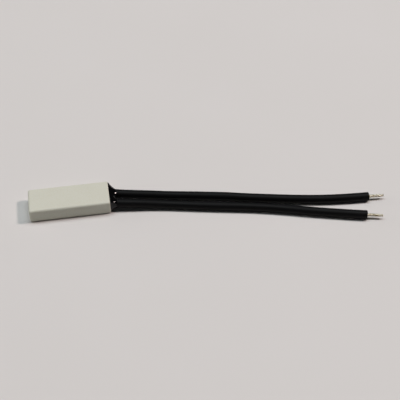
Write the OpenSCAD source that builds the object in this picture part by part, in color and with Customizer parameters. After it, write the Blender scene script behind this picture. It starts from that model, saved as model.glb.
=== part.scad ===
// Thermal fuse: a flat moulded case with two insulated leads out of its resin-sealed end.
// Sizes are millimetres. +X runs along the case towards the leads and +Z is up.
// The origin is the middle of the case's underside.

/* [Case] */
// Length of the case, from closed end to mouth
case_length = 20; // [18:0.5:26]
// Width of the case
case_width = 7.8; // [7.4:0.1:10]
// Height of the case
case_height = 3.8; // [3.6:0.1:5]
// Thickness of the top, bottom and side walls
wall = 0.6; // [0.4:0.05:0.65]
// Thickness of the closed end
end_wall = 0.8; // [0.5:0.1:1.5]
// Radius of the long and closed-end outside edges
edge_radius = 0.55; // [0.2:0.05:0.6]
// Radius round the outside of the mouth
lip_radius = 0.35; // [0.1:0.05:0.35]
// Radius of the cavity's long edges
cavity_radius = 0.3; // [0.1:0.05:0.5]

/* [Leads] */
// Diameter of a lead over its jacket
jacket_diameter = 2.2; // [1.6:0.1:2.4]
// Diameter of the tinned, stranded conductor
conductor_diameter = 0.9; // [0.6:0.05:1.1]
// Radial clearance between jacket and conductor
jacket_clearance = 0.02; // [0.01:0.01:0.05]
// Distance between the two leads' centres in the case
lead_pitch = 3.4; // [3:0.1:4]
// Length of jacket inside the mouth
jacket_entry = 4; // [3:0.5:5]
// Length of bare conductor beyond the jacket
strip_length = 4; // [2:0.5:8]
// Radius on the conductor's cut end
tip_radius = 0.15; // [0.05:0.05:0.25]

/* [Resin seal] */
// Depth of resin behind the mouth
seal_depth = 8.5; // [8:0.5:10]
// Thickness of resin over the lip
cap_thickness = 0.2; // [0.1:0.05:0.5]
// Radius of the fillet by which the resin climbs each lead
climb_radius = 2.2; // [0.8:0.1:2.6]

/* [Terminals] */
// Thickness of the brass strip
strip_thickness = 0.25; // [0.15:0.05:0.3]
// Width of a terminal's tongue
tongue_width = 1.6; // [1.5:0.1:2]
// Length of the tongue past its crimp barrel
tongue_length = 9; // [6:0.5:10]
// Length of the crimp barrel
barrel_length = 3; // [2:0.5:3.5]
// Bare conductor between the jacket and the barrel
bare_gap = 0.5; // [0.2:0.1:1]
// Radial clearance between barrel and conductor
barrel_clearance = 0.02; // [0.01:0.01:0.04]
// Depth of the barrel's floor below the tongue's underside
barrel_drop = 0.05; // [0.03:0.01:0.1]
// Width of the seam where the barrel's wings meet
seam_width = 0.2; // [0.1:0.05:0.4]

/* [Fusible link] */
// Diameter of the fusible alloy bar
link_diameter = 0.9; // [0.6:0.1:1]
// Length of the bar past the middle of each tongue
link_overhang = 0.6; // [0.3:0.1:0.7]
// Distance of the bar's axis from the tongues' tips
link_setback = 0.9; // [0.7:0.1:1.5]
// Depth by which the bar is welded down into the tongues' faces
weld_depth = 0.1; // [0.05:0.05:0.2]
// Thickness of flux around the bar and the tongues' tips
flux_cover = 0.4; // [0.2:0.05:0.45]
// Radius of the flux body's edges
flux_radius = 0.5; // [0.2:0.1:0.6]

/* [Hidden] */

$fn = 48;

// Sides of a lead's section
lead_sides = 16;
// Overshoot of a cutting solid past the face that it opens
cut = 1;

// Places along and above the case
mouth_x = case_length / 2;
closed_x = -case_length / 2;
cavity_x = closed_x + end_wall;
cavity_width = case_width - 2 * wall;
cavity_height = case_height - 2 * wall;
lead_z = case_height / 2;
jacket_inner_x = mouth_x - jacket_entry;
barrel_x = jacket_inner_x - bare_gap - barrel_length;
tongue_tip_x = barrel_x - tongue_length;
seal_inner_x = mouth_x - seal_depth;

// Heights in a terminal: the barrel grips the conductor, and its floor steps down from the tongue
barrel_radius = conductor_diameter / 2 + strip_thickness;
tongue_z = lead_z - barrel_radius + barrel_drop;
tongue_top_z = tongue_z + strip_thickness;
link_x = tongue_tip_x + link_setback;
link_z = tongue_top_z + link_diameter / 2 - weld_depth;
link_half_length = lead_pitch / 2 + link_overhang;

// Routes of the leads from the mouth out: distance from the mouth, sideways from the lead's place
// in the case, and height as a share of the drop from the mouth to where a lead lies on the table
far_route = [
    [0, -0.3, 1], [3, -1, 0.9], [7, -1.6, 0.6], [11, -2.1, 0.25], [15, -2.75, 0],
    [19, -3.45, 0], [24, -4.35, 0], [29, -5.3, 0], [34, -6.45, 0], [39, -7.5, 0],
    [44, -8.5, 0], [49, -9.4, 0], [54, -10.1, 0], [59, -10.55, 0], [64.5, -10.85, 0]
];
near_route = [
    [0, -0.3, 1], [3, -0.85, 0.9], [7, -1.35, 0.6], [11, -1.9, 0.25], [15, -2.6, 0],
    [19, -3.4, 0], [24, -4.4, 0], [29, -5.35, 0], [34, -6.3, 0], [39, -7.4, 0],
    [44, -8.7, 0], [49, -10.1, 0], [54, -11.4, 0], [59, -12.65, 0], [62.5, -13.45, 0]
];
far_y = lead_pitch / 2;
near_y = -lead_pitch / 2;

// The whole centre line of a jacket: straight inside the mouth, then along its route
function lead_line(route, y) = concat(
    [[jacket_inner_x, y, lead_z], [mouth_x - jacket_entry / 2, y, lead_z]],
    [for (p = route)
        [mouth_x + p[0], y + p[1], jacket_diameter / 2 + p[2] * (lead_z - jacket_diameter / 2)]]
);
far_line = lead_line(far_route, far_y);
near_line = lead_line(near_route, near_y);

function unit(v) = v / norm(v);
function last(list) = list[len(list) - 1];

// Distance to the flats of a lead's polygon whose corners lie on the circle given
function flat_radius(radius) = radius * cos(180 / lead_sides);

// Direction of a line at its point i, level with its neighbours on both sides
function heading(line, i) =
    unit(line[min(i + 1, len(line) - 1)] - line[max(i - 1, 0)]);

// One ring of a swept section: a polygon whose flats lie at the given radius, square to the line
function ring(line, i, radius) =
    let (
        along = heading(line, i),
        side = unit(cross([0, 0, 1], along)),
        up = cross(along, side),
        corner = radius / cos(180 / lead_sides)
    )
    [for (k = [0:lead_sides - 1])
        let (a = (k + 0.5) * 360 / lead_sides)
        line[i] + corner * (cos(a) * side + sin(a) * up)];

// Two triangles of the band between corners a and b of one ring and c and d of the next
function band(a, b, c, d) = [[a, c, b], [b, c, d]];

// Side faces between successive rings, whose points start at the index given
function side_faces(rings, start) = [
    for (i = [0:rings - 2], k = [0:lead_sides - 1])
        let (
            a = start + i * lead_sides + k,
            b = start + i * lead_sides + (k + 1) % lead_sides
        )
        each band(a, b, a + lead_sides, b + lead_sides)
];

function reversed(faces) = [for (f = faces) [f[0], f[2], f[1]]];

// A solid bar of the lead's polygon along a line
module swept_bar(line, radius) {
    rings = len(line);
    points = [for (i = [0:rings - 1]) each ring(line, i, radius)];
    near_end = [[for (k = [0:lead_sides - 1]) k]];
    far_end = [[for (k = [lead_sides - 1:-1:0]) (rings - 1) * lead_sides + k]];
    polyhedron(points, concat(side_faces(rings, 0), near_end, far_end));
}

// The same with a hole down the middle
module swept_tube(line, radius, bore) {
    rings = len(line);
    count = rings * lead_sides;
    points = concat(
        [for (i = [0:rings - 1]) each ring(line, i, radius)],
        [for (i = [0:rings - 1]) each ring(line, i, bore)]
    );
    near_end = [
        for (k = [0:lead_sides - 1])
            let (n = (k + 1) % lead_sides)
            each band(k, n, k + count, n + count)
    ];
    far_end = [for (f = near_end) [for (i = f) i + (rings - 1) * lead_sides]];
    polyhedron(points, concat(
        side_faces(rings, 0), reversed(side_faces(rings, count)),
        reversed(near_end), far_end
    ));
}

// A cylinder along +X from the point given
module bar_x(from, radius, length) {
    translate(from) rotate([0, 90, 0]) cylinder(r = radius, h = length);
}

// A rectangle with round corners: one radius at its low-x end and one at its high-x end
module round_rectangle(size, low_radius, high_radius) {
    for (s = [-1, 1]) {
        translate([-size[0] / 2 + low_radius, s * (size[1] / 2 - low_radius)]) circle(low_radius);
        translate([size[0] / 2 - high_radius, s * (size[1] / 2 - high_radius)]) circle(high_radius);
    }
    translate([-size[0] / 2 + low_radius, -size[1] / 2])
        square([size[0] - low_radius - high_radius, size[1]]);
    translate([-size[0] / 2, -size[1] / 2 + low_radius])
        square([low_radius, size[1] - 2 * low_radius]);
    translate([size[0] / 2 - high_radius, -size[1] / 2 + high_radius])
        square([high_radius, size[1] - 2 * high_radius]);
}

// Extrudes a section drawn as (y, z) along +X
module along_x(length) {
    rotate([90, 0, 90]) linear_extrude(length) children();
}

// A block standing on z = 0, centred in x and y, with its edges rounded in all three directions
module round_block(size, radius, high_radius) {
    intersection() {
        linear_extrude(size[2]) round_rectangle([size[0], size[1]], radius, high_radius);
        translate([0, size[1] / 2, size[2] / 2]) rotate([90, 0, 0])
            linear_extrude(size[1]) round_rectangle([size[0], size[2]], radius, high_radius);
        translate([-size[0] / 2, 0, size[2] / 2]) along_x(size[0])
            round_rectangle([size[1], size[2]], radius, radius);
    }
}

// The section of the cavity, which the resin fills
module cavity_section() {
    translate([0, case_height / 2])
        round_rectangle([cavity_width, cavity_height], cavity_radius, cavity_radius);
}

// Moulded cup, open at the lead end
module case_shell() {
    color("#dad7c8") difference() {
        round_block([case_length, case_width, case_height], edge_radius, lip_radius);
        translate([cavity_x, 0, 0]) along_x(case_length) cavity_section();
    }
}

// Resin that has crept up a lead: a ring with a concave fillet, along the lead as it leaves the mouth
module resin_climb(line) {
    jacket_radius = jacket_diameter / 2;
    foot_radius = jacket_radius + climb_radius;
    foot = line[2];
    way = line[3] - line[2];
    translate(foot) rotate([0, 0, atan2(way[1], way[0])]) rotate([0, 90, 0])
        rotate_extrude() difference() {
            translate([0, -cut]) square([foot_radius, cut + cap_thickness + climb_radius]);
            translate([foot_radius, cap_thickness + climb_radius]) circle(climb_radius);
        }
}

// Side outline of the resin outside the mouth: hollow arcs from the lip's flat to just over a lead
module climb_profile() {
    foot = case_height / 2 - lip_radius;
    head = (jacket_diameter + cap_thickness) / 2;
    drop = foot - head;
    reach = climb_radius + cap_thickness / 2;
    arc_radius = (pow(reach, 2) + pow(drop, 2)) / (2 * drop);
    difference() {
        translate([-cut, -foot]) square([cut + climb_radius, 2 * foot]);
        for (s = [-1, 1])
            translate([climb_radius, s * (head + arc_radius)]) circle(arc_radius);
    }
}

// Resin outside the mouth: a thin skin on the lip, and the climbs, all inside the lip's flat
module resin_cap() {
    intersection() {
        translate([mouth_x, 0, lead_z]) along_x(cap_thickness + climb_radius)
            round_rectangle(
                [case_width - 2 * lip_radius, case_height - 2 * lip_radius],
                edge_radius, edge_radius
            );
        translate([mouth_x + cap_thickness, case_width / 2, lead_z]) rotate([90, 0, 0])
            linear_extrude(case_width) climb_profile();
        union() {
            translate([mouth_x - cut, -case_width / 2, 0])
                cube([cut + cap_thickness, case_width, case_height]);
            resin_climb(far_line);
            resin_climb(near_line);
        }
    }
}

// Potting resin that closes the mouth around the leads and their crimps
module resin_seal() {
    color("#161616") difference() {
        union() {
            translate([seal_inner_x, 0, 0]) along_x(seal_depth) cavity_section();
            resin_cap();
        }
        swept_bar(far_line, jacket_diameter / 2);
        swept_bar(near_line, jacket_diameter / 2);
        for (y = [far_y, near_y]) {
            bar_x([barrel_x, y, lead_z], conductor_diameter / 2, jacket_inner_x - barrel_x);
            terminal_envelope(y);
        }
    }
}

// Extruded insulation of one lead
module lead_jacket(line) {
    color("#1c1c1e")
        swept_tube(line, jacket_diameter / 2, flat_radius(conductor_diameter / 2));
}

// Stranded conductor of one lead: in the crimp barrel, through the jacket, and bare at its end
module lead_conductor(line) {
    end = last(line);
    way = heading(line, len(line) - 1);
    radius = conductor_diameter / 2;
    color("#c9ccd0") {
        bar_x([barrel_x, line[0][1], lead_z], radius, jacket_inner_x - barrel_x);
        swept_bar(line, flat_radius(radius - jacket_clearance));
        translate(end) rotate([0, 0, atan2(way[1], way[0])]) rotate([0, 90, 0]) lead_tip(radius);
    }
}

// The bare end, round, with its cut edge rounded over
module lead_tip(radius) {
    cylinder(r = radius, h = strip_length - tip_radius);
    translate([0, 0, strip_length - tip_radius]) rotate_extrude() {
        square([radius - tip_radius, tip_radius]);
        translate([radius - tip_radius, 0]) intersection() {
            circle(tip_radius);
            square(tip_radius);
        }
    }
}

// Outside form of a terminal, with its barrel closed
module terminal_envelope(y) {
    bar_x([barrel_x, y, lead_z], barrel_radius, barrel_length);
    translate([tongue_tip_x, y - tongue_width / 2, tongue_z])
        cube([tongue_length + barrel_length, tongue_width, strip_thickness]);
}

// Brass strip: a tongue that carries the link, and wings rolled round the conductor
module terminal(y) {
    color("#c8a24a") difference() {
        terminal_envelope(y);
        bar_x([barrel_x - cut, y, lead_z], conductor_diameter / 2 + barrel_clearance,
            barrel_length + 2 * cut);
        translate([barrel_x - cut, y - seam_width / 2, lead_z])
            cube([barrel_length + 2 * cut, seam_width, barrel_radius + cut]);
    }
}

// Bar of low-melting alloy welded across the two tongues
module fusible_link() {
    color("#b9bcc2") difference() {
        translate([link_x, link_half_length, link_z]) rotate([90, 0, 0])
            cylinder(d = link_diameter, h = 2 * link_half_length);
        terminal_envelope(far_y);
        terminal_envelope(near_y);
    }
}

// Solid flux cast round the link and the tongues' tips
module flux_body() {
    low_x = tongue_tip_x - flux_cover;
    high_x = link_x + link_diameter / 2 + flux_cover;
    low_z = tongue_z - flux_cover;
    high_z = link_z + link_diameter / 2 + flux_cover;
    half_width = max(link_half_length, (lead_pitch + tongue_width) / 2) + flux_cover;
    color("#b9822e") difference() {
        translate([(low_x + high_x) / 2, 0, low_z])
            round_block([high_x - low_x, 2 * half_width, high_z - low_z], flux_radius, flux_radius);
        terminal_envelope(far_y);
        terminal_envelope(near_y);
        translate([link_x, link_half_length, link_z]) rotate([90, 0, 0])
            cylinder(d = link_diameter, h = 2 * link_half_length);
    }
}

case_shell();
resin_seal();
lead_jacket(far_line);  // far_lead_jacket
lead_jacket(near_line);  // near_lead_jacket
lead_conductor(far_line);  // far_lead_conductor
lead_conductor(near_line);  // near_lead_conductor
terminal(far_y);  // far_terminal
terminal(near_y);  // near_terminal
fusible_link();
flux_body();
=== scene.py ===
"""A flat thermal fuse lying on a pale table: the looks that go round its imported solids.

Sizes are written in millimetres and turned to metres by MM. +X runs along the case
towards the leads, +Z is up, and the origin is the middle of the case's underside.
"""

import math

import bmesh
import bpy
from mathutils import Matrix, Vector


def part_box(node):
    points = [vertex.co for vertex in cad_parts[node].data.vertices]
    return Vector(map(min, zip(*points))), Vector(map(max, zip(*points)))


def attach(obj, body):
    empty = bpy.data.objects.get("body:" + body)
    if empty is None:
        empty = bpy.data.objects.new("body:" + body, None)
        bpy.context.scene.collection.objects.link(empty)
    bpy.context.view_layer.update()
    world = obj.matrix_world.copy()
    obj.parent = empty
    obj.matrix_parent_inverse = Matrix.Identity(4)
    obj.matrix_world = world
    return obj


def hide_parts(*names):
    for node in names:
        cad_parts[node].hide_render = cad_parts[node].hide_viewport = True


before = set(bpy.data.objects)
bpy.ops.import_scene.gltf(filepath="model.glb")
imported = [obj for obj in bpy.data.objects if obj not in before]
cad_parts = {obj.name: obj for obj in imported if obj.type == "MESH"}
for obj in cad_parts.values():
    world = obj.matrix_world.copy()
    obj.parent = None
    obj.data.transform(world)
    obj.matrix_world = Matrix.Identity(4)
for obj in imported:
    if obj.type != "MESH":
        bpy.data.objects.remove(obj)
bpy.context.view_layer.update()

MM = 0.001

# The case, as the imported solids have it
case_low, case_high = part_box("case_shell")
seal_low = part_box("resin_seal")[0]
CASE_LENGTH, CASE_WIDTH, CASE_HEIGHT = (side / MM for side in case_high - case_low)
MOUTH_X = case_high.x / MM
LEAD_Z = CASE_HEIGHT / 2
SEAL_DEPTH = MOUTH_X - seal_low.x / MM
WALL = 0.6
END_WALL = 0.8
EDGE_RADIUS = 0.55
LIP_RADIUS = 0.35
CAVITY_RADIUS = 0.3

# The leads
JACKET_DIAMETER = 2.2
CONDUCTOR_DIAMETER = 0.9
JACKET_CLEARANCE = 0.02
LEAD_PITCH = 3.4
JACKET_ENTRY = 4.0
STRIP_LENGTH = 4.0
BARREL_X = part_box("far_lead_conductor")[0].x / MM

# Routes of the leads from the mouth out: distance from the mouth, sideways from the lead's
# place in the case, and height as a share of the drop from the mouth to the table
ROUTES = {
    "far": [
        (0, -0.3, 1), (3, -1, 0.9), (7, -1.6, 0.6), (11, -2.1, 0.25), (15, -2.75, 0),
        (19, -3.45, 0), (24, -4.35, 0), (29, -5.3, 0), (34, -6.45, 0), (39, -7.5, 0),
        (44, -8.5, 0), (49, -9.4, 0), (54, -10.1, 0), (59, -10.55, 0), (64.5, -10.85, 0),
    ],
    "near": [
        (0, -0.3, 1), (3, -0.85, 0.9), (7, -1.35, 0.6), (11, -1.9, 0.25), (15, -2.6, 0),
        (19, -3.4, 0), (24, -4.4, 0), (29, -5.35, 0), (34, -6.3, 0), (39, -7.4, 0),
        (44, -8.7, 0), (49, -10.1, 0), (54, -11.4, 0), (59, -12.65, 0), (62.5, -13.45, 0),
    ],
}
LANES = {"far": LEAD_PITCH / 2, "near": -LEAD_PITCH / 2}

# The camera, fitted to the corners of the case in the photograph
CAMERA_PLACE = (7.18, -164.7, 174.5)
CAMERA_PITCH = 46.8
CAMERA_TURN = 8.91
LENS = 85.3
SENSOR = 36.0

# Kinds of node that are used most
MATH = "ShaderNodeMath"
VECTOR = "ShaderNodeVectorMath"
NOISE = "ShaderNodeTexNoise"
RANGE = "ShaderNodeMapRange"
MIX = "ShaderNodeMix"
BUMP = "ShaderNodeBump"

# Sockets that are counted, because their names come more than once in a node
FACTOR, COLOUR_A, COLOUR_B, MIXED = 0, 6, 7, 2
RANDOM_LEAST, RANDOM_MOST, RANDOM_DRAWN = 2, 3, 1
TRIM_END = 5

# Map of a jacket's surface
JACKET_MAP = "lay"


# Small tools

def colour(code):
    """Linear RGBA of an sRGB hex code."""
    channels = [int(code[i:i + 2], 16) / 255 for i in (1, 3, 5)]
    linear = [c / 12.92 if c <= 0.04045 else ((c + 0.055) / 1.055) ** 2.4 for c in channels]
    return (*linear, 1.0)


def per_mm(size):
    """Texture scale that repeats a pattern about once in that many millimetres."""
    return 1 / (size * MM)


def connect(tree, node, inputs):
    """Fills a node's inputs, given by name or in order. An input takes a value, a socket, or a node,
    whose first output it then reads."""
    pairs = inputs.items() if isinstance(inputs, dict) else enumerate(inputs)
    for socket, value in pairs:
        if isinstance(value, bpy.types.Node):
            value = value.outputs[0]
        if isinstance(value, bpy.types.NodeSocket):
            tree.links.new(value, node.inputs[socket])
        else:
            node.inputs[socket].default_value = value


def add(tree, kind, inputs=(), **settings):
    """Adds a node with its settings and inputs."""
    node = tree.nodes.new(kind)
    for name, value in settings.items():
        setattr(node, name, value)
    connect(tree, node, inputs)
    return node


def new_material(name):
    """An empty node material, with its tree and its Principled shader."""
    material = bpy.data.materials.new(name)
    material.use_nodes = True
    tree = material.node_tree
    tree.nodes.clear()
    shader = add(tree, "ShaderNodeBsdfPrincipled")
    add(tree, "ShaderNodeOutputMaterial", {"Surface": shader})
    return material, tree, shader


def new_object(name, mesh, material):
    """Links a mesh to the scene as one piece with one material."""
    piece = bpy.data.objects.new(name, mesh)
    mesh.materials.clear()
    mesh.materials.append(material)
    bpy.context.collection.objects.link(piece)
    return piece


def bake_modifiers(piece):
    """Turns what the modifiers make into the piece's own plain mesh."""
    graph = bpy.context.evaluated_depsgraph_get()
    made = bpy.data.meshes.new_from_object(piece.evaluated_get(graph))
    piece.modifiers.clear()
    piece.data = made
    made.name = piece.name


def turn_outward(mesh):
    """Points every face of a closed mesh outwards."""
    bm = bmesh.new()
    bm.from_mesh(mesh)
    bmesh.ops.recalc_face_normals(bm, faces=bm.faces)
    bm.to_mesh(mesh)
    bm.free()


def geometry_tree(name, inputs):
    """An empty geometry tree with named inputs, each a kind and a value, and its input sockets."""
    tree = bpy.data.node_groups.new(name, "GeometryNodeTree")
    tree.interface.new_socket("Geometry", in_out="INPUT", socket_type="NodeSocketGeometry")
    for label, (kind, value) in inputs.items():
        socket = tree.interface.new_socket(label, in_out="INPUT", socket_type=f"NodeSocket{kind}")
        socket.default_value = value
    tree.interface.new_socket("Material", in_out="INPUT", socket_type="NodeSocketMaterial")
    tree.interface.new_socket("Geometry", in_out="OUTPUT", socket_type="NodeSocketGeometry")
    return tree, add(tree, "NodeGroupInput").outputs


def end_tree(tree, given, solid):
    """Ends a geometry tree with a smooth, real mesh of one material."""
    smooth = add(tree, "GeometryNodeSetShadeSmooth", {"Geometry": solid})
    real = add(tree, "GeometryNodeRealizeInstances", {"Geometry": smooth})
    painted = add(tree, "GeometryNodeSetMaterial",
                  {"Geometry": real, "Material": given["Material"]})
    add(tree, "NodeGroupOutput", {"Geometry": painted})


def run_tree(piece, tree, values):
    """Runs a geometry tree on a piece, with values for its named inputs, and keeps the mesh."""
    modifier = piece.modifiers.new(tree.name, "NODES")
    modifier.node_group = tree
    for item in tree.interface.items_tree:
        if item.in_out == "INPUT" and item.name in values:
            modifier[item.identifier] = values[item.name]
    bake_modifiers(piece)


# Materials

def moulded_ivory():
    """Glass-filled polyester, moulded in a spark-eroded tool: matt ivory with a fine even grain,
    faintly clouded where the melt flowed."""
    material, tree, shader = new_material("moulded_ivory_polyester")
    place = add(tree, "ShaderNodeTexCoord").outputs["Object"]
    cloud = add(tree, NOISE, {"Vector": place, "Scale": per_mm(4), "Detail": 3})
    speck = add(tree, NOISE, {"Vector": place, "Scale": per_mm(0.35), "Detail": 2})
    # Spark erosion leaves a grain of about 0.05 mm, drawn coarser here so that it shows
    grain = add(tree, NOISE, {"Vector": place, "Scale": per_mm(0.25), "Detail": 2})
    body = add(tree, MIX, {FACTOR: cloud, COLOUR_A: colour("#c1c1b0"), COLOUR_B: colour("#c9c9ba")},
               data_type="RGBA").outputs[MIXED]
    fleck = add(tree, RANGE, {"Value": speck, "From Min": 0.35, "From Max": 0.7})
    tint = add(tree, MIX, {FACTOR: fleck, COLOUR_A: body, COLOUR_B: colour("#c8c9bd")},
               data_type="RGBA").outputs[MIXED]
    rough = add(tree, RANGE, {"Value": speck, "To Min": 0.5, "To Max": 0.66})
    bump = add(tree, BUMP, {"Height": grain, "Strength": 0.7, "Distance": 0.02 * MM})
    connect(tree, shader, {"Base Color": tint, "Roughness": rough, "Normal": bump, "IOR": 1.55})
    return material


def potting_epoxy():
    """Black epoxy that set where it was poured: a wet gloss over slow swells."""
    material, tree, shader = new_material("black_potting_epoxy")
    place = add(tree, "ShaderNodeTexCoord").outputs["Object"]
    swell = add(tree, NOISE, {"Vector": place, "Scale": per_mm(1.6), "Detail": 2})
    dust = add(tree, NOISE, {"Vector": place, "Scale": per_mm(0.25), "Detail": 3})
    body = add(tree, MIX, {FACTOR: dust, COLOUR_A: colour("#040404"), COLOUR_B: colour("#080809")},
               data_type="RGBA").outputs[MIXED]
    rough = add(tree, RANGE, {"Value": dust, "To Min": 0.02, "To Max": 0.05})
    bump = add(tree, BUMP, {"Height": swell, "Strength": 0.3, "Distance": 0.08 * MM})
    connect(tree, shader, {"Base Color": body, "Roughness": rough, "Normal": bump, "IOR": 1.5,
                           "Specular IOR Level": 0.25})
    return material


def extruded_insulation():
    """Black cross-linked insulation, drawn through a die: satin, with faint lines along the lead.
    The map's first direction runs round the lead and its second along it, both in millimetres."""
    material, tree, shader = new_material("black_extruded_insulation")
    lay = add(tree, "ShaderNodeUVMap", uv_map=JACKET_MAP)
    # Die lines are about 0.05 mm wide, drawn broader here so that they show
    line_width = 0.16
    line_length = 9.0
    bloom_size = 2.5
    stretched = add(tree, "ShaderNodeMapping",
                    {"Vector": lay, "Scale": (1 / line_width, 1 / line_length, 1)})
    lines = add(tree, NOISE, {"Vector": stretched, "Scale": 1, "Detail": 2})
    bloom = add(tree, NOISE, {"Vector": lay, "Scale": 1 / bloom_size, "Detail": 3})
    body = add(tree, MIX, {FACTOR: bloom, COLOUR_A: colour("#050505"), COLOUR_B: colour("#0a0a0b")},
               data_type="RGBA").outputs[MIXED]
    rough = add(tree, RANGE,
                {"Value": lines, "From Min": 0.3, "From Max": 0.7, "To Min": 0.46, "To Max": 0.62})
    bump = add(tree, BUMP, {"Height": lines, "Strength": 0.5, "Distance": 0.03 * MM})
    connect(tree, shader, {"Base Color": body, "Roughness": rough, "Normal": bump,
                           "Specular IOR Level": 0.12})
    return material


def tinned_copper():
    """Copper strands dipped in tin: bright silver, yellower where the tin is thin, dull in the lays."""
    material, tree, shader = new_material("tinned_copper_strand")
    place = add(tree, "ShaderNodeTexCoord").outputs["Object"]
    patch = add(tree, NOISE, {"Vector": place, "Scale": per_mm(0.6), "Detail": 3})
    # Pits in the tin are about 0.02 mm, drawn coarser here so that they show
    pits = add(tree, NOISE, {"Vector": place, "Scale": per_mm(0.08), "Detail": 1})
    thin = add(tree, RANGE, {"Value": patch, "From Min": 0.5, "From Max": 0.72})
    body = add(tree, MIX, {FACTOR: thin, COLOUR_A: colour("#cdc9b8"), COLOUR_B: colour("#8c7a52")},
               data_type="RGBA").outputs[MIXED]
    rough = add(tree, RANGE, {"Value": patch, "To Min": 0.25, "To Max": 0.5})
    bump = add(tree, BUMP, {"Height": pits, "Strength": 0.1, "Distance": 0.01 * MM})
    connect(tree, shader, {"Base Color": body, "Roughness": rough, "Normal": bump, "Metallic": 1.0})
    return material


def stamped_brass():
    """Rolled brass strip, stamped and folded: yellow, with fine rolling lines along the strip."""
    material, tree, shader = new_material("stamped_brass_strip")
    place = add(tree, "ShaderNodeTexCoord").outputs["Object"]
    line_length = 4.0
    line_width = 0.06
    grid = (per_mm(line_length), per_mm(line_width), per_mm(line_width))
    rolled = add(tree, "ShaderNodeMapping", {"Vector": place, "Scale": grid})
    lines = add(tree, NOISE, {"Vector": rolled, "Scale": 1, "Detail": 2})
    body = add(tree, MIX, {FACTOR: lines, COLOUR_A: colour("#b8934a"), COLOUR_B: colour("#d9b768")},
               data_type="RGBA").outputs[MIXED]
    rough = add(tree, RANGE, {"Value": lines, "To Min": 0.25, "To Max": 0.4})
    connect(tree, shader, {"Base Color": body, "Roughness": rough, "Metallic": 1.0})
    return material


def fusible_alloy():
    """Cast low-melting alloy: dull blue-grey, with the patchy facets of coarse crystals."""
    material, tree, shader = new_material("cast_fusible_alloy")
    place = add(tree, "ShaderNodeTexCoord").outputs["Object"]
    crystal = add(tree, "ShaderNodeTexVoronoi", {"Vector": place, "Scale": per_mm(0.25)})
    body = add(tree, MIX, {FACTOR: crystal, COLOUR_A: colour("#a9acb2"), COLOUR_B: colour("#86888f")},
               data_type="RGBA").outputs[MIXED]
    rough = add(tree, RANGE, {"Value": crystal, "To Min": 0.35, "To Max": 0.55})
    connect(tree, shader, {"Base Color": body, "Roughness": rough, "Metallic": 1.0})
    return material


def rosin_flux():
    """Cast rosin: amber and glassy, cloudy inside."""
    material, tree, shader = new_material("amber_rosin_flux")
    place = add(tree, "ShaderNodeTexCoord").outputs["Object"]
    cloud = add(tree, NOISE, {"Vector": place, "Scale": per_mm(1.2), "Detail": 4})
    body = add(tree, MIX, {FACTOR: cloud, COLOUR_A: colour("#8a4f14"), COLOUR_B: colour("#d39a3c")},
               data_type="RGBA").outputs[MIXED]
    rough = add(tree, RANGE, {"Value": cloud, "To Min": 0.1, "To Max": 0.3})
    connect(tree, shader, {"Base Color": body, "Roughness": rough, "IOR": 1.53,
                           "Subsurface Weight": 0.3, "Subsurface Scale": 0.5 * MM})
    return material


def table_sheet():
    """Smooth pale card, matt, with the slightest unevenness of tone."""
    material, tree, shader = new_material("pale_table_card")
    place = add(tree, "ShaderNodeTexCoord").outputs["Object"]
    tone = add(tree, NOISE, {"Vector": place, "Scale": per_mm(40), "Detail": 2})
    body = add(tree, MIX, {FACTOR: tone, COLOUR_A: colour("#cfcdca"), COLOUR_B: colour("#d2d0ce")},
               data_type="RGBA").outputs[MIXED]
    connect(tree, shader, {"Base Color": body, "Roughness": 0.9, "Specular IOR Level": 0.1})
    return material


# Paths of the leads

def lead_points(side):
    """Listed points of a lead's centre line: straight inside the mouth, then its route."""
    lane = LANES[side]
    rest_z = JACKET_DIAMETER / 2
    points = [(MOUTH_X - JACKET_ENTRY, lane, LEAD_Z), (MOUTH_X - JACKET_ENTRY / 2, lane, LEAD_Z)]
    for along, sideways, lift in ROUTES[side]:
        points.append((MOUTH_X + along, lane + sideways, rest_z + lift * (LEAD_Z - rest_z)))
    return [Vector(point) for point in points]


def smooth_line(points, step):
    """A smooth curve through the points, with its own points about a step apart."""
    line = []
    for i in range(len(points) - 1):
        before = points[max(i - 1, 0)]
        start, end = points[i], points[i + 1]
        after = points[min(i + 2, len(points) - 1)]
        span = (end - start).length
        leave = (end - before) / (end - before).length * span
        arrive = (after - start) / (after - start).length * span
        count = max(1, round(span / step))
        for k in range(count):
            t = k / count
            line.append(
                start * (2 * t ** 3 - 3 * t ** 2 + 1) + leave * (t ** 3 - 2 * t ** 2 + t)
                + end * (3 * t ** 2 - 2 * t ** 3) + arrive * (t ** 3 - t ** 2)
            )
    return line + [points[-1]]


def lying_line(side):
    """A jacket's centre line, which nowhere sinks below where it lies on the table."""
    step = 0.5
    line = smooth_line(lead_points(side), step)
    for point in line:
        point.z = max(point.z, JACKET_DIAMETER / 2)
    return line


def headings(line):
    """Unit direction of a line at each of its points."""
    last = len(line) - 1
    return [(line[min(i + 1, last)] - line[max(i - 1, 0)]).normalized() for i in range(len(line))]


# Pieces

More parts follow.
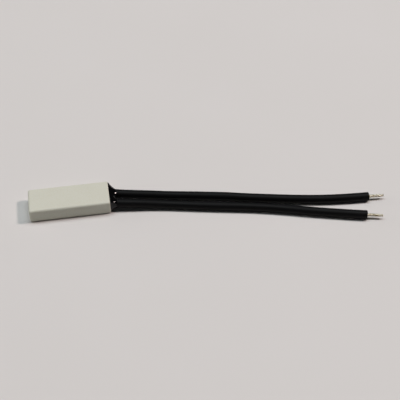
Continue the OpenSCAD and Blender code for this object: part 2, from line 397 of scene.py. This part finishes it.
def make_case(material):
    """The moulded cup: an outer box and a cavity, joined by the lip, with every edge rounded."""
    half_outer = Vector((CASE_LENGTH / 2, CASE_WIDTH / 2, CASE_HEIGHT / 2))
    half_inner = half_outer - Vector((0, WALL, WALL))
    middle_z = CASE_HEIGHT / 2
    corners = ((-1, -1), (1, -1), (1, 1), (-1, 1))
    rounding_steps = 6

    mesh = bpy.data.meshes.new("case_moulding")
    bm = bmesh.new()
    weight = bm.edges.layers.float.new("bevel_weight_edge")

    def ring(x, half):
        """Corners of a rectangle across the case."""
        return [bm.verts.new((x * MM, y * half.y * MM, (middle_z + z * half.z) * MM))
                for y, z in corners]

    loops = [
        ring(-CASE_LENGTH / 2, half_outer),
        ring(CASE_LENGTH / 2, half_outer),
        ring(CASE_LENGTH / 2, half_inner),
        ring(-CASE_LENGTH / 2 + END_WALL, half_inner),
    ]
    bm.faces.new(loops[0])
    bm.faces.new(reversed(loops[-1]))
    for first, second in zip(loops, loops[1:]):
        for i in range(len(corners)):
            j = (i + 1) % len(corners)
            bm.faces.new((first[i], second[i], second[j], first[j]))
    bmesh.ops.recalc_face_normals(bm, faces=bm.faces)

    lip = set(loops[1])
    inner_lip = set(loops[2])
    inside = inner_lip | set(loops[3])
    for edge in bm.edges:
        ends = set(edge.verts)
        if ends <= lip:
            edge[weight] = LIP_RADIUS / EDGE_RADIUS
        elif ends <= inner_lip:
            edge[weight] = 0.0
        elif ends <= inside:
            edge[weight] = CAVITY_RADIUS / EDGE_RADIUS
        elif not ends & inside:
            edge[weight] = 1.0
    bm.to_mesh(mesh)
    bm.free()

    piece = new_object("case_moulding", mesh, material)
    for face in mesh.polygons:
        face.use_smooth = True
    rounding = piece.modifiers.new("rounding", "BEVEL")
    rounding.limit_method = "WEIGHT"
    rounding.width = EDGE_RADIUS * MM
    rounding.segments = rounding_steps
    rounding.harden_normals = True
    bake_modifiers(piece)
    return piece


def from_rounded_box(tree, place, middle_x, half, radius):
    """Distance of a place from a box with rounded edges, less than nothing inside it."""
    shifted = add(tree, VECTOR, (place, (middle_x, 0, 0)), operation="SUBTRACT")
    folded = add(tree, VECTOR, (shifted,), operation="ABSOLUTE")
    beyond = add(tree, VECTOR, (folded, [side - radius for side in half]), operation="SUBTRACT")
    clear = add(tree, VECTOR, (beyond, (0, 0, 0)), operation="MAXIMUM")
    outside = add(tree, VECTOR, (clear,), operation="LENGTH").outputs["Value"]
    parts = add(tree, "ShaderNodeSeparateXYZ", (beyond,)).outputs
    crosswise = add(tree, MATH, (parts["Y"], parts["Z"]), operation="MAXIMUM")
    nearest = add(tree, MATH, (parts["X"], crosswise), operation="MAXIMUM")
    inside = add(tree, MATH, (nearest, 0), operation="MINIMUM")
    sharp = add(tree, MATH, (outside, inside), operation="ADD")
    return add(tree, MATH, (sharp, radius), operation="SUBTRACT")


def from_jacket(tree, axes, side):
    """Distance of a place from a lead, which leans as it leaves the mouth. It is counted from a
    little under the jacket's skin, so that the resin meets it without a gap."""
    sunk = 0.05
    start, end = (Vector(point) for point in ROUTES[side][:2])
    slope = (end.y - start.y) / (end.x - start.x)
    fall = (end.z - start.z) * (LEAD_Z - JACKET_DIAMETER / 2) / (end.x - start.x)
    start_y = LANES[side] + start.y
    lead_y = add(tree, MATH, (axes["X"], slope, start_y), operation="MULTIPLY_ADD")
    lead_z = add(tree, MATH, (axes["X"], fall), operation="MULTIPLY")
    across = add(tree, MATH, (axes["Y"], lead_y), operation="SUBTRACT")
    up = add(tree, MATH, (axes["Z"], lead_z), operation="SUBTRACT")
    offset = add(tree, "ShaderNodeCombineXYZ", {"Y": across, "Z": up})
    radius = add(tree, VECTOR, (offset,), operation="LENGTH").outputs["Value"]
    return add(tree, MATH, (radius, JACKET_DIAMETER / 2 - sunk), operation="SUBTRACT")


def resin_tree():
    """Geometry nodes that set the resin: a plug in the mouth whose face starts at the lip and sweeps
    out along each lead in a hollow curve. Its distances are in millimetres from the mouth."""
    tree, given = geometry_tree("set_resin", {
        "Skin": ("Float", 0.15),
        "Climb": ("Float", 1.8),
        "Lip inset": ("Float", 0.22),
        "Voxel": ("Float", 0.06),
        "Easing": ("Int", 10),
    })
    mouth = Vector((MOUTH_X, 0, LEAD_Z)) * MM
    position = add(tree, "GeometryNodeInputPosition")
    from_mouth = add(tree, VECTOR, (position, mouth), operation="SUBTRACT")
    local = add(tree, VECTOR, (from_mouth, (MM, MM, MM)), operation="DIVIDE")
    axes = add(tree, "ShaderNodeSeparateXYZ", (local,)).outputs

    half_width = CASE_WIDTH / 2
    half_height = CASE_HEIGHT / 2
    plug_half = (SEAL_DEPTH / 2, half_width - WALL, half_height - WALL)
    plug = from_rounded_box(tree, local, -SEAL_DEPTH / 2, plug_half, CAVITY_RADIUS)
    # The outline runs far out past the mouth, so that only its long sides count
    outline_half = (2 * CASE_LENGTH, half_width, half_height)
    case_outline = from_rounded_box(tree, local, 0, outline_half, EDGE_RADIUS)
    outline = add(tree, MATH, (case_outline, given["Lip inset"]), operation="ADD")
    inwards = add(tree, MATH, (outline, -1), operation="MULTIPLY")
    from_lip = add(tree, MATH, (inwards, 0), operation="MAXIMUM")

    # Distance from the nearer lead, eased where the resin bridges the two
    bridge = 3.2
    from_leads = [from_jacket(tree, axes, side) for side in LANES]
    nearer = add(tree, MATH, (*from_leads, bridge), operation="SMOOTH_MIN")
    from_lead = add(tree, MATH, (nearer, 0), operation="MAXIMUM")

    # The face stands lowest at the lip and sweeps up to its highest at a lead
    least_gap = 0.001
    sweep_power = 1.3
    both = add(tree, MATH, (from_lip, from_lead), operation="ADD")
    gap = add(tree, MATH, (both, least_gap), operation="MAXIMUM")
    share = add(tree, MATH, (from_lip, gap), operation="DIVIDE")
    swept = add(tree, MATH, (share, sweep_power), operation="POWER")
    rise = add(tree, MATH, (swept, given["Climb"], given["Skin"]), operation="MULTIPLY_ADD")
    ahead = add(tree, MATH, (axes["X"], rise), operation="SUBTRACT")

    # A cover within the lip, and the plug behind it
    skin_rounding = 0.15
    skin_depth = 0.35
    face = add(tree, MATH, (ahead, outline, skin_rounding), operation="SMOOTH_MAX")
    behind = add(tree, MATH, (-skin_depth, axes["X"]), operation="SUBTRACT")
    cover = add(tree, MATH, (face, behind), operation="MAXIMUM")
    resin = add(tree, MATH, (cover, plug), operation="MINIMUM")
    density = add(tree, MATH, (resin, -1), operation="MULTIPLY")

    # The box in which the resin is worked out, and its mesh
    margin = 0.3
    reach = 3.2
    low = Vector((-SEAL_DEPTH - margin, -half_width - margin, -half_height - margin))
    high = Vector((reach, half_width + margin, half_height + margin))
    counts = []
    for side in high - low:
        count = add(tree, MATH, (side, given["Voxel"]), operation="DIVIDE")
        counts.append(add(tree, "FunctionNodeFloatToInt", (count,)))
    volume = add(tree, "GeometryNodeVolumeCube", {
        "Density": density, "Background": -1.0,
        "Min": mouth + low * MM, "Max": mouth + high * MM,
        "Resolution X": counts[0], "Resolution Y": counts[1], "Resolution Z": counts[2],
    })
    skinned = add(tree, "GeometryNodeVolumeToMesh", {"Volume": volume, "Threshold": 0.0})
    eased = add(tree, "GeometryNodeBlurAttribute",
                {"Value": position, "Iterations": given["Easing"]}, data_type="FLOAT_VECTOR")
    settled = add(tree, "GeometryNodeSetPosition", {"Geometry": skinned, "Position": eased})
    end_tree(tree, given, settled)
    return tree


def make_resin(material):
    """Potting resin in the mouth."""
    piece = new_object("potting_resin", bpy.data.meshes.new("potting_resin"), material)
    run_tree(piece, resin_tree(), {"Material": material})
    return piece


def jacket_rings(line):
    """Rings of a jacket, out along its line, over the cut and back into the bore, each with its
    middle, its heading, its radius and its distance along the lead."""
    radius = JACKET_DIAMETER / 2
    bore = CONDUCTOR_DIAMETER / 2 + JACKET_CLEARANCE
    cut_radius = 0.12
    cut_rings = 4
    bore_depth = 1.5
    # Extrusion leaves two slow waves in the radius, counted in radians per millimetre
    first_wave = 0.9
    second_wave = 0.37
    second_start = 1.0
    ripple = 0.01

    rings = []
    along = 0.0
    for i, (point, way) in enumerate(zip(line, headings(line))):
        if i:
            along += (point - line[i - 1]).length
        waves = (math.sin(along * first_wave), math.sin(along * second_wave + second_start))
        waver = (1 + sum(waves) / len(waves)) / 2
        rings.append((point, way, radius - ripple * waver, along))
    end, end_way, end_radius, end_along = rings.pop()
    for k in range(cut_rings + 1):
        turn = math.radians(90 * k / cut_rings)
        back = cut_radius * (1 - math.sin(turn))
        inset = cut_radius * (1 - math.cos(turn))
        rings.append((end - end_way * back, end_way, end_radius - inset, end_along - back))
    rings.append((end, end_way, bore, end_along))
    rings.append((end - end_way * bore_depth, end_way, bore, end_along - bore_depth))
    return rings


def make_jacket(side, material):
    """A lead's insulation: a tube along its line, cut square, with the bore open at its outer end."""
    sides = 64
    girth = math.pi * JACKET_DIAMETER
    line = lying_line(side)
    rings = jacket_rings(line)

    points = []
    for point, way, size, _ in rings:
        level = Vector((0, 0, 1)).cross(way).normalized()
        up = way.cross(level)
        for k in range(sides):
            # The seam of the map lies underneath
            turn = math.radians(360 * k / sides - 90)
            points.append((point + size * (math.cos(turn) * level + math.sin(turn) * up)) * MM)

    def map_place(i, k):
        """Place in the map of a ring's point: how far round the lead, and how far along it."""
        return girth * k / sides, rings[i][-1]

    last = len(rings) - 1
    faces = [list(range(sides))]
    places = [map_place(0, k) for k in range(sides)]
    for i in range(last):
        for k in range(sides):
            n = (k + 1) % sides
            faces.append([i * sides + k, (i + 1) * sides + k, (i + 1) * sides + n, i * sides + n])
            places += [map_place(i, k), map_place(i + 1, k),
                       map_place(i + 1, k + 1), map_place(i, k + 1)]
    faces.append([last * sides + k for k in reversed(range(sides))])
    places += [map_place(last, k) for k in reversed(range(sides))]

    mesh = bpy.data.meshes.new(f"{side}_lead_sleeve")
    mesh.from_pydata(points, [], faces)
    lay = mesh.uv_layers.new(name=JACKET_MAP)
    for loop, place in zip(lay.data, places):
        loop.uv = place
    # All but the two ends are smooth
    for face in mesh.polygons:
        face.use_smooth = len(face.vertices) < sides
    turn_outward(mesh)
    piece = new_object(f"{side}_lead_sleeve", mesh, material)
    return piece, [point * MM for point in line]


def strand_tree():
    """Geometry nodes that lay strands round one core strand along the carrier's line."""
    tree, given = geometry_tree("lay_strands", {
        "Outer strands": ("Int", 6),
        "Strand diameter": ("Float", 0.3 * MM),
        "Lay length": ("Float", 2.8 * MM),
        "Step": ("Float", 0.2 * MM),
        "End scatter": ("Float", 0.9 * MM),
        "Bare length": ("Float", 4 * MM),
        "Squeeze": ("Float", 0.4),
    })
    scatter_seed = 4
    strand_sides = 12
    line = add(tree, "GeometryNodeMeshToCurve", {"Mesh": given["Geometry"]})
    line = add(tree, "GeometryNodeResampleCurve", {"Curve": line, "Length": given["Step"]},
               mode="LENGTH")
    count = add(tree, MATH, (given["Outer strands"], 1), operation="ADD")
    strands = add(tree, "GeometryNodeDuplicateElements", {"Geometry": line, "Amount": count},
                  domain="SPLINE")
    number = strands.outputs["Duplicate Index"]
    short = add(tree, "FunctionNodeRandomValue", {
        RANDOM_LEAST: 0.0, RANDOM_MOST: given["End scatter"], "ID": number, "Seed": scatter_seed,
    }, data_type="FLOAT").outputs[RANDOM_DRAWN]
    whole = add(tree, "GeometryNodeSplineLength").outputs["Length"]
    end = add(tree, MATH, (whole, short), operation="SUBTRACT")
    strands = add(tree, "GeometryNodeTrimCurve", {"Curve": strands, TRIM_END: end}, mode="LENGTH")

    # Strand 0 is the core. The others wind round it, and draw together towards their bare ends
    along = add(tree, "GeometryNodeSplineParameter").outputs["Length"]
    laid = add(tree, MATH, (along, given["Lay length"]), operation="DIVIDE")
    share = add(tree, MATH, (number, given["Outer strands"]), operation="DIVIDE")
    turns = add(tree, MATH, (laid, share), operation="ADD")
    angle = add(tree, MATH, (turns, 2 * math.pi), operation="MULTIPLY")
    outer = add(tree, MATH, (number, 0), operation="GREATER_THAN")
    wound = add(tree, MATH, (outer, given["Strand diameter"]), operation="MULTIPLY")
    left = add(tree, MATH, (whole, along), operation="SUBTRACT")
    drawn = add(tree, MATH, (1, given["Squeeze"]), operation="SUBTRACT")
    squeeze = add(tree, RANGE, {
        "Value": left, "From Max": given["Bare length"], "To Min": drawn, "To Max": 1,
    })
    radius = add(tree, MATH, (wound, squeeze), operation="MULTIPLY")
    normal = add(tree, "GeometryNodeInputNormal")
    tangent = add(tree, "GeometryNodeInputTangent")
    sideways = add(tree, VECTOR, (tangent, normal), operation="CROSS_PRODUCT")
    cosine = add(tree, MATH, (angle,), operation="COSINE")
    sine = add(tree, MATH, (angle,), operation="SINE")
    first = add(tree, VECTOR, {"Vector": normal, "Scale": cosine}, operation="SCALE")
    second = add(tree, VECTOR, {"Vector": sideways, "Scale": sine}, operation="SCALE")
    spoke = add(tree, VECTOR, (first, second), operation="ADD")
    offset = add(tree, VECTOR, {"Vector": spoke, "Scale": radius}, operation="SCALE")
    helix = add(tree, "GeometryNodeSetPosition", {"Geometry": strands, "Offset": offset})

    wire = add(tree, MATH, (given["Strand diameter"], 0.5), operation="MULTIPLY")
    section = add(tree, "GeometryNodeCurvePrimitiveCircle",
                  {"Resolution": strand_sides, "Radius": wire})
    solid = add(tree, "GeometryNodeCurveToMesh",
                {"Curve": helix, "Profile Curve": section, "Fill Caps": True})
    end_tree(tree, given, solid)
    return tree


def make_strands(side, tree, material):
    """A lead's conductor: twisted strands from the crimp to past the end of the jacket."""
    strands_across = 3
    line = lying_line(side)
    start = Vector((BARREL_X, LANES[side], LEAD_Z))
    end = line[-1] + headings(line)[-1] * STRIP_LENGTH
    points = [point * MM for point in (start, *line, end)]
    mesh = bpy.data.meshes.new(f"{side}_lead_strands")
    mesh.from_pydata(points, [(i, i + 1) for i in range(len(points) - 1)], [])
    piece = new_object(f"{side}_lead_strands", mesh, material)
    run_tree(piece, tree, {
        "Strand diameter": CONDUCTOR_DIAMETER * MM / strands_across,
        "Bare length": STRIP_LENGTH * MM,
        "Material": material,
    })
    return piece


# Stage

def make_table(material):
    """A wide sheet for the object to lie on."""
    reach = 3000 * MM
    corners = [(-reach, -reach, 0), (reach, -reach, 0), (reach, reach, 0), (-reach, reach, 0)]
    mesh = bpy.data.meshes.new("table")
    mesh.from_pydata(corners, [], [range(len(corners))])
    return new_object("table", mesh, material)


def add_lamp(name, rise, turn, size, share, tint):
    """A soft rectangular lamp that faces the object, with its size in metres. Its rise is its angle
    above the table, its turn is counted from +X towards +Y, and its share is the part of the
    table's light that it gives."""
    distance = 3000 * MM
    rise = math.radians(rise)
    turn = math.radians(turn)
    place = distance * Vector((math.cos(rise) * math.cos(turn), math.cos(rise) * math.sin(turn),
                               math.sin(rise)))
    lamp = bpy.data.lights.new(name, "AREA")
    lamp.shape = "RECTANGLE"
    lamp.size, lamp.size_y = size
    # Light thins with the distance and the slant, and the energy makes up for both
    lamp.energy = share * math.pi ** 2 * distance ** 2 / math.sin(rise)
    lamp.color = colour(tint)[:3]
    holder = bpy.data.objects.new(name, lamp)
    holder.location = place
    holder.rotation_euler = (-place).to_track_quat("-Z", "Y").to_euler()
    bpy.context.collection.objects.link(holder)


def light_studio():
    """A long softbox overhead and a little behind, a weak fill from beyond the closed end, a small
    lamp beyond the leads, and pale low walls under a dim ceiling."""
    add_lamp("overhead_softbox", rise=78, turn=90, size=(3, 1.1), share=0.68, tint="#f4fbff")
    add_lamp("closed_end_fill", rise=18, turn=160, size=(2.4, 1.2), share=0.08, tint="#fff8ee")
    add_lamp("lead_end_lamp", rise=47.5, turn=3, size=(0.36, 0.36), share=0.37, tint="#ffece7")

    world = bpy.data.worlds.new("dim_studio")
    bpy.context.scene.world = world
    world.use_nodes = True
    tree = world.node_tree
    tree.nodes.clear()
    direction = add(tree, "ShaderNodeTexCoord").outputs["Generated"]
    height = add(tree, "ShaderNodeSeparateXYZ", (direction,)).outputs["Z"]
    wall_rise = 6
    wall_top = math.sin(math.radians(wall_rise))
    fade = add(tree, RANGE, {"Value": height, "From Min": wall_top / 2, "From Max": wall_top})
    tone = add(tree, MIX, {FACTOR: fade, COLOUR_A: colour("#cfcbc8"), COLOUR_B: colour("#2a2c2f")},
               data_type="RGBA").outputs[MIXED]
    background = add(tree, "ShaderNodeBackground", {"Color": tone, "Strength": 1.0})
    add(tree, "ShaderNodeOutputWorld", {"Surface": background})


def place_camera():
    """The photograph's viewpoint: down at the case from its near side, turned a little."""
    pitch = math.radians(CAMERA_PITCH)
    turn = math.radians(CAMERA_TURN)
    ahead = Vector((math.sin(turn) * math.cos(pitch), math.cos(turn) * math.cos(pitch),
                    -math.sin(pitch)))
    right = Vector((math.cos(turn), -math.sin(turn), 0))
    up = right.cross(ahead)
    data = bpy.data.cameras.new("camera")
    data.sensor_width = SENSOR
    data.lens = LENS
    data.clip_start = 10 * MM
    camera = bpy.data.objects.new("camera", data)
    axes = Matrix((right, up, -ahead)).transposed()
    camera.matrix_world = Matrix.Translation(Vector(CAMERA_PLACE) * MM) @ axes.to_4x4()
    bpy.context.collection.objects.link(camera)
    bpy.context.scene.camera = camera


# Put together

def dress_node(name, material):
    """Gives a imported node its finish."""
    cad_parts[name].material_slots[0].material = material


def main():
    """Sets the stage, makes the pieces and hides the imported nodes that they stand in for."""
    bpy.context.scene.view_settings.view_transform = "Standard"
    place_camera()
    light_studio()
    make_table(table_sheet())

    case = make_case(moulded_ivory())
    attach(case, "root")
    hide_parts("case_shell")

    resin = make_resin(potting_epoxy())
    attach(resin, "root")
    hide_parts("resin_seal")

    insulation = extruded_insulation()
    copper = tinned_copper()
    laying = strand_tree()
    for side in ROUTES:
        strands = make_strands(side, laying, copper)
        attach(strands, "root")
        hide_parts(f"{side}_lead_conductor")
        jacket, line = make_jacket(side, insulation)
        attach(jacket, "root")
        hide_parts(f"{side}_lead_jacket")

    brass = stamped_brass()
    dress_node("far_terminal", brass)
    dress_node("near_terminal", brass)
    dress_node("fusible_link", fusible_alloy())
    dress_node("flux_body", rosin_flux())


main()
